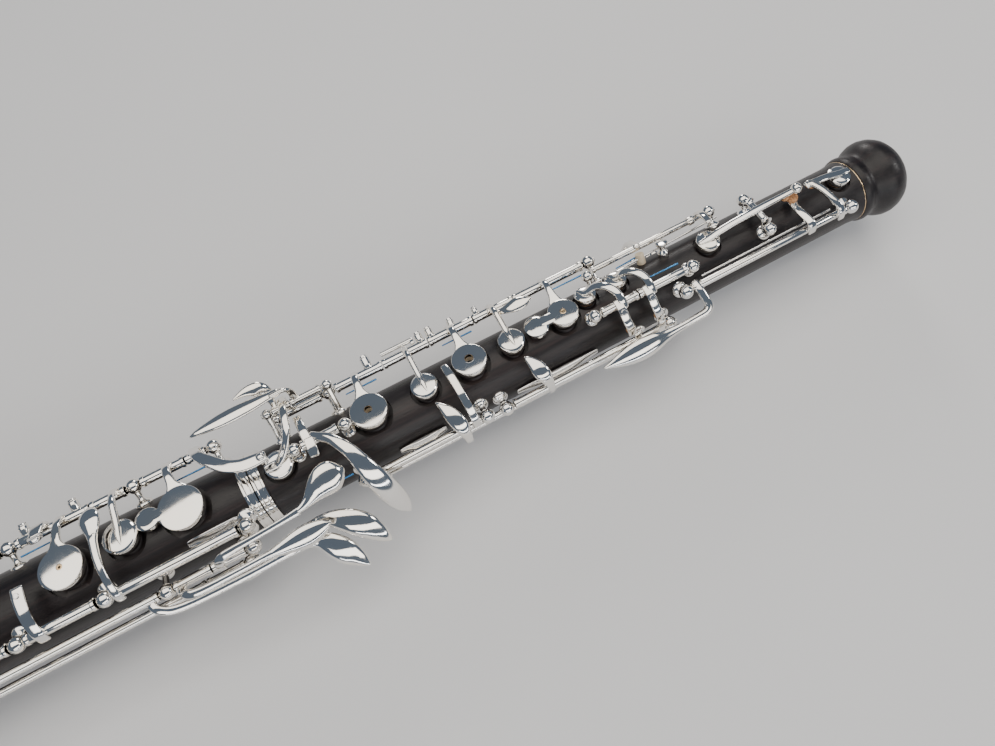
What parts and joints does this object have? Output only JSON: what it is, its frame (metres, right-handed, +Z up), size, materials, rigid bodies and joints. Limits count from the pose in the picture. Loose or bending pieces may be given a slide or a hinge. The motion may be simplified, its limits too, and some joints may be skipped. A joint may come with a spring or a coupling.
{
  "type": "oboe",
  "caption": "Oboe with a turned wooden crown and flared bell, post-mounted silvered keywork with hinged cups and touches, rings at its joints and a thumb rest.",
  "frame": {"origin": "on the surface the oboe lies on, under the middle of its bounding box", "axes": "+X along the bore towards the crown (reed end), +Z up, out of the finger plates, +Y away from the left-hand little finger keys"},
  "size_m": [0.597, 0.0648, 0.0408],
  "materials": {
    "wood": "satin oiled, fine open grain",
    "silver": "polished silver plate",
    "pad": "matte skin-covered felt",
    "cork": "matte cork"
  },
  "bodies": {
    "root": {"upper_joint": "wood", "lower_joint": "wood", "bell": "wood", "upper_joint_ring": "silver", "middle_socket_ring": "silver", "lower_joint_ring": "silver", "bell_socket_ring": "silver", "middle_tenon_cork": "cork", "bell_tenon_cork": "cork", "thumb_rest": "silver"},
    "second_octave_key": {"second_octave_key": "silver"},
    "trill_key_upper": {"trill_key_upper": "silver"},
    "trill_key_lower": {"trill_key_lower": "silver"},
    "octave_link": {"octave_link": "silver"},
    "thumb_octave_key": {"thumb_octave_key": "silver"},
    "first_octave_key": {"first_octave_key": "silver"},
    "half_hole_key": {"half_hole_key": "silver", "half_hole_pad": "pad"},
    "c_key": {"c_key": "silver"},
    "a_key": {"a_key": "silver", "a_pad": "pad"},
    "b_flat_key": {"b_flat_key": "silver", "b_flat_pad": "pad"},
    "g_key": {"g_key": "silver", "g_pad": "pad"},
    "left_trill_lever_upper": {"left_trill_lever_upper": "silver"},
    "left_trill_lever_lower": {"left_trill_lever_lower": "silver"},
    "cross_bridge_key": {"cross_bridge_key": "silver"},
    "g_sharp_touch": {"g_sharp_touch": "silver"},
    "g_sharp_key": {"g_sharp_key": "silver", "g_sharp_pad": "pad"},
    "trill_touch_upper": {"trill_touch_upper": "silver"},
    "trill_touch_lower": {"trill_touch_lower": "silver"},
    "articulation_lever": {"articulation_lever": "silver"},
    "f_sharp_key": {"f_sharp_key": "silver", "f_sharp_pad": "pad"},
    "f_sharp_vent_key": {"f_sharp_vent_key": "silver", "f_sharp_vent_pad": "pad"},
    "e_key": {"e_key": "silver", "e_pad": "pad"},
    "d_key": {"d_key": "silver", "d_pad": "pad"},
    "e_flat_trill_key": {"e_flat_trill_key": "silver"},
    "forked_f_key": {"forked_f_key": "silver"},
    "f_key": {"f_key": "silver", "f_pad": "pad"},
    "e_flat_key": {"e_flat_key": "silver", "e_flat_pad": "pad"},
    "c_sharp_key": {"c_sharp_key": "silver", "c_sharp_pad": "pad"},
    "low_c_key": {"low_c_key": "silver", "low_c_pad": "pad"},
    "left_f_lever": {"left_f_lever": "silver"},
    "left_e_flat_lever": {"left_e_flat_lever": "silver"},
    "low_b_lever": {"low_b_lever": "silver"},
    "low_b_key": {"low_b_key": "silver", "low_b_pad": "pad"},
    "low_b_flat_lever": {"low_b_flat_lever": "silver"},
    "bell_key": {"bell_key": "silver", "low_b_flat_pad": "pad"}
  },
  "joints": [
    {"name": "second_octave_key_turn", "type": "hinge", "parent": "root", "child": "second_octave_key", "pos_m": [0.244, -0.0079, 0.02993], "axis": [1, 0, 0], "range_deg": [0, 5], "stiffness_Nm_per_rad": 0.03, "springref_deg": -6.88},
    {"name": "trill_key_upper_turn", "type": "hinge", "parent": "root", "child": "trill_key_upper", "pos_m": [0.204, -0.00293, 0.03349], "axis": [1, 0, 0], "range_deg": [0, 5], "stiffness_Nm_per_rad": 0.03, "springref_deg": -6.88},
    {"name": "trill_key_lower_turn", "type": "hinge", "parent": "root", "child": "trill_key_lower", "pos_m": [0.188, -0.00293, 0.03349], "axis": [1, 0, 0], "range_deg": [0, 5], "stiffness_Nm_per_rad": 0.03, "springref_deg": -6.88},
    {"name": "octave_link_turn", "type": "hinge", "parent": "root", "child": "octave_link", "pos_m": [0.214, 0.01281, 0.03079], "axis": [1, 0, 0], "range_deg": [-4, 0], "stiffness_Nm_per_rad": 0.03, "springref_deg": 6.88},
    {"name": "thumb_octave_key_turn", "type": "hinge", "parent": "root", "child": "thumb_octave_key", "pos_m": [0.204, 0.01554, 0.01521], "axis": [1, 0, 0], "range_deg": [-5, 0], "stiffness_Nm_per_rad": 0.03, "springref_deg": 6.88},
    {"name": "first_octave_key_turn", "type": "hinge", "parent": "root", "child": "first_octave_key", "pos_m": [0.2416, 0.00313, 0.03418], "axis": [0, 0.9986, -0.0523], "range_deg": [0, 5], "stiffness_Nm_per_rad": 0.03, "springref_deg": -6.88},
    {"name": "half_hole_key_turn", "type": "hinge", "parent": "root", "child": "half_hole_key", "pos_m": [0.174, 0.01711, 0.0285], "axis": [1, 0, 0], "range_deg": [0, 4], "stiffness_Nm_per_rad": 0.03, "springref_deg": -6.88},
    {"name": "c_key_turn", "type": "hinge", "parent": "root", "child": "c_key", "pos_m": [0.155, 0.01711, 0.0285], "axis": [1, 0, 0], "range_deg": [0, 4], "stiffness_Nm_per_rad": 0.03, "springref_deg": -6.88},
    {"name": "a_key_turn", "type": "hinge", "parent": "root", "child": "a_key", "pos_m": [0.141, 0.01711, 0.0285], "axis": [1, 0, 0], "range_deg": [0, 4], "stiffness_Nm_per_rad": 0.03, "springref_deg": -6.88},
    {"name": "b_flat_key_turn", "type": "hinge", "parent": "root", "child": "b_flat_key", "pos_m": [0.126, 0.01711, 0.0285], "axis": [1, 0, 0], "range_deg": [0, 4], "stiffness_Nm_per_rad": 0.03, "springref_deg": -6.88},
    {"name": "g_key_turn", "type": "hinge", "parent": "root", "child": "g_key", "pos_m": [0.11, 0.01711, 0.0285], "axis": [1, 0, 0], "range_deg": [0, 4], "stiffness_Nm_per_rad": 0.03, "springref_deg": -6.88},
    {"name": "left_trill_lever_upper_turn", "type": "hinge", "parent": "root", "child": "left_trill_lever_upper", "pos_m": [0.174, -0.0121, 0.02388], "axis": [1, 0, 0], "range_deg": [-4, 0], "stiffness_Nm_per_rad": 0.03, "springref_deg": 6.88},
    {"name": "left_trill_lever_lower_turn", "type": "hinge", "parent": "root", "child": "left_trill_lever_lower", "pos_m": [0.154, -0.01131, 0.02024], "axis": [1, 0, 0], "range_deg": [-4, 0], "stiffness_Nm_per_rad": 0.03, "springref_deg": 6.88},
    {"name": "cross_bridge_key_turn", "type": "hinge", "parent": "root", "child": "cross_bridge_key", "pos_m": [0.119, -0.01213, 0.02572], "axis": [1, 0, 0], "range_deg": [-3, 0], "stiffness_Nm_per_rad": 0.03, "springref_deg": 6.88},
    {"name": "g_sharp_touch_turn", "type": "hinge", "parent": "root", "child": "g_sharp_touch", "pos_m": [0.093, 0.00185, 0.03549], "axis": [1, 0, 0], "range_deg": [0, 5], "stiffness_Nm_per_rad": 0.03, "springref_deg": -6.88},
    {"name": "g_sharp_key_turn", "type": "hinge", "parent": "root", "child": "g_sharp_key", "pos_m": [0.091, 0.01711, 0.0285], "axis": [1, 0, 0], "range_deg": [-4, 0], "stiffness_Nm_per_rad": 0.03, "springref_deg": 6.88},
    {"name": "trill_touch_upper_turn", "type": "hinge", "parent": "root", "child": "trill_touch_upper", "pos_m": [0.094, 0.0174, 0.0326], "axis": [1, 0, 0], "range_deg": [-4, 0], "stiffness_Nm_per_rad": 0.03, "springref_deg": 6.88},
    {"name": "trill_touch_lower_turn", "type": "hinge", "parent": "root", "child": "trill_touch_lower", "pos_m": [0.086, 0.0174, 0.0326], "axis": [1, 0, 0], "range_deg": [-5, 0], "stiffness_Nm_per_rad": 0.03, "springref_deg": 6.88},
    {"name": "articulation_lever_turn", "type": "hinge", "parent": "root", "child": "articulation_lever", "pos_m": [0.059, 0.01676, 0.03083], "axis": [1, 0, 0], "range_deg": [0, 2], "stiffness_Nm_per_rad": 0.03, "springref_deg": -6.88},
    {"name": "f_sharp_key_turn", "type": "hinge", "parent": "root", "child": "f_sharp_key", "pos_m": [0.049, 0.01676, 0.03083], "axis": [1, 0, 0], "range_deg": [0, 4], "stiffness_Nm_per_rad": 0.03, "springref_deg": -6.88},
    {"name": "f_sharp_vent_key_turn", "type": "hinge", "parent": "root", "child": "f_sharp_vent_key", "pos_m": [0.033, 0.01676, 0.03083], "axis": [1, 0, 0], "range_deg": [0, 4], "stiffness_Nm_per_rad": 0.03, "springref_deg": -6.88},
    {"name": "e_key_turn", "type": "hinge", "parent": "root", "child": "e_key", "pos_m": [0.017, 0.01676, 0.03083], "axis": [1, 0, 0], "range_deg": [0, 4], "stiffness_Nm_per_rad": 0.03, "springref_deg": -6.88},
    {"name": "d_key_turn", "type": "hinge", "parent": "root", "child": "d_key", "pos_m": [-0.01, 0.01676, 0.03083], "axis": [1, 0, 0], "range_deg": [0, 4], "stiffness_Nm_per_rad": 0.03, "springref_deg": -6.88},
    {"name": "e_flat_trill_key_turn", "type": "hinge", "parent": "root", "child": "e_flat_trill_key", "pos_m": [0.044, -0.01005, 0.03159], "axis": [1, 0, 0], "range_deg": [-4, 0], "stiffness_Nm_per_rad": 0.03, "springref_deg": 6.88},
    {"name": "forked_f_key_turn", "type": "hinge", "parent": "root", "child": "forked_f_key", "pos_m": [0.012, -0.01005, 0.03159], "axis": [1, 0, 0], "range_deg": [-4, 0], "stiffness_Nm_per_rad": 0.03, "springref_deg": 6.88},
    {"name": "f_key_turn", "type": "hinge", "parent": "root", "child": "f_key", "pos_m": [-0.026, -0.01005, 0.03159], "axis": [1, 0, 0], "range_deg": [0, 5], "stiffness_Nm_per_rad": 0.03, "springref_deg": -6.88},
    {"name": "e_flat_key_turn", "type": "hinge", "parent": "root", "child": "e_flat_key", "pos_m": [-0.031, 0.01676, 0.03083], "axis": [1, 0, 0], "range_deg": [-5, 0], "stiffness_Nm_per_rad": 0.03, "springref_deg": 6.88},
    {"name": "c_sharp_key_turn", "type": "hinge", "parent": "root", "child": "c_sharp_key", "pos_m": [-0.054, 0.01676, 0.03083], "axis": [1, 0, 0], "range_deg": [-5, 0], "stiffness_Nm_per_rad": 0.03, "springref_deg": 6.88},
    {"name": "low_c_key_turn", "type": "hinge", "parent": "root", "child": "low_c_key", "pos_m": [-0.078, 0.01997, 0.02061], "axis": [1, 0, 0], "range_deg": [0, 4], "stiffness_Nm_per_rad": 0.03, "springref_deg": -6.88},
    {"name": "left_f_lever_turn", "type": "hinge", "parent": "root", "child": "left_f_lever", "pos_m": [0.057, -0.01497, 0.02773], "axis": [1, 0, 0], "range_deg": [-5, 0], "stiffness_Nm_per_rad": 0.03, "springref_deg": 6.88},
    {"name": "left_e_flat_lever_turn", "type": "hinge", "parent": "root", "child": "left_e_flat_lever", "pos_m": [0.046, -0.01497, 0.02773], "axis": [1, 0, 0], "range_deg": [0, 5], "stiffness_Nm_per_rad": 0.03, "springref_deg": -6.88},
    {"name": "low_b_lever_turn", "type": "hinge", "parent": "root", "child": "low_b_lever", "pos_m": [0.053, -0.01631, 0.02196], "axis": [1, 0, 0], "range_deg": [0, 5], "stiffness_Nm_per_rad": 0.03, "springref_deg": -6.88},
    {"name": "low_b_key_turn", "type": "hinge", "parent": "root", "child": "low_b_key", "pos_m": [-0.051, -0.01631, 0.02196], "axis": [1, 0, 0], "range_deg": [-4, 0], "stiffness_Nm_per_rad": 0.03, "springref_deg": 6.88},
    {"name": "low_b_flat_lever_turn", "type": "hinge", "parent": "root", "child": "low_b_flat_lever", "pos_m": [-0.062, -0.01497, 0.02773], "axis": [1, 0, 0], "range_deg": [0, 5], "stiffness_Nm_per_rad": 0.03, "springref_deg": -6.88},
    {"name": "bell_key_turn", "type": "hinge", "parent": "root", "child": "bell_key", "pos_m": [-0.198, -0.01611, 0.02194], "axis": [1, 0, 0], "range_deg": [-4, 0], "stiffness_Nm_per_rad": 0.03, "springref_deg": 6.88}
  ],
  "couplings": [
    {"joint": "octave_link_turn", "follows": "thumb_octave_key_turn", "ratio": 0.8},
    {"joint": "first_octave_key_turn", "follows": "thumb_octave_key_turn", "ratio": -1},
    {"joint": "trill_key_upper_turn", "follows": "left_trill_lever_upper_turn", "ratio": -1.2},
    {"joint": "trill_key_lower_turn", "follows": "left_trill_lever_lower_turn", "ratio": -1.2},
    {"joint": "g_sharp_key_turn", "follows": "g_sharp_touch_turn", "ratio": -0.8},
    {"joint": "low_b_key_turn", "follows": "low_b_lever_turn", "ratio": -0.8},
    {"joint": "bell_key_turn", "follows": "low_b_flat_lever_turn", "ratio": -0.8},
    {"joint": "left_e_flat_lever_turn", "follows": "e_flat_key_turn", "ratio": -1},
    {"joint": "left_f_lever_turn", "follows": "f_key_turn", "ratio": -1}
  ]
}
